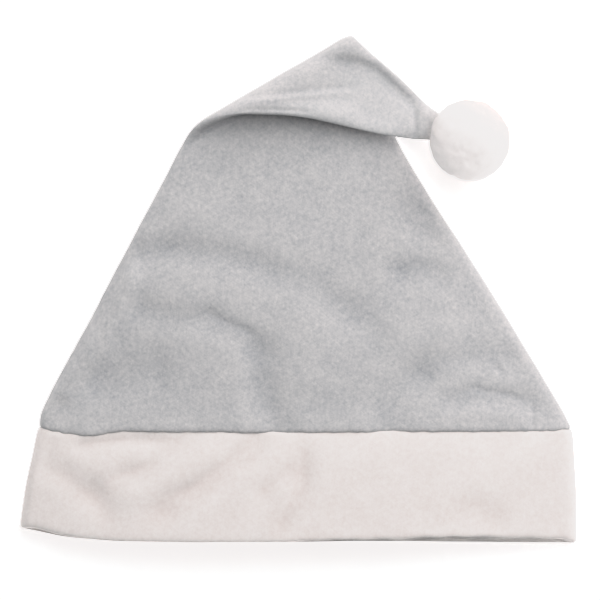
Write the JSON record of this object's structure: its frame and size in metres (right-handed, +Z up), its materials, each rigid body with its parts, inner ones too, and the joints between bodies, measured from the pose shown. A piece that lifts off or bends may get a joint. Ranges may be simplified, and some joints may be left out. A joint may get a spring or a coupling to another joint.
{
  "type": "santa hat",
  "caption": "Grey felt santa hat lying flat: a hollow cone with its tip folded over to one side, a white felt band round the open mouth and a white fleece pompom on the tip.",
  "frame": {"origin": "on the surface that the hat lies on, under the middle of its box", "axes": "+X across the hat towards the side that the tip and pompom lie on, +Y from the mouth towards the fold, +Z up from the surface, so the hat lies on its back and its mouth opens towards -Y"},
  "size_m": [0.3063, 0.2781, 0.0434],
  "materials": {
    "grey_felt": "matt needle felt, light cool grey",
    "white_felt": "matt brushed felt, warm white",
    "white_fleece": "short-pile fleece, white"
  },
  "bodies": {
    "root": {"crown": "grey_felt", "band": "white_felt", "pompom": "white_fleece"}
  },
  "joints": []
}
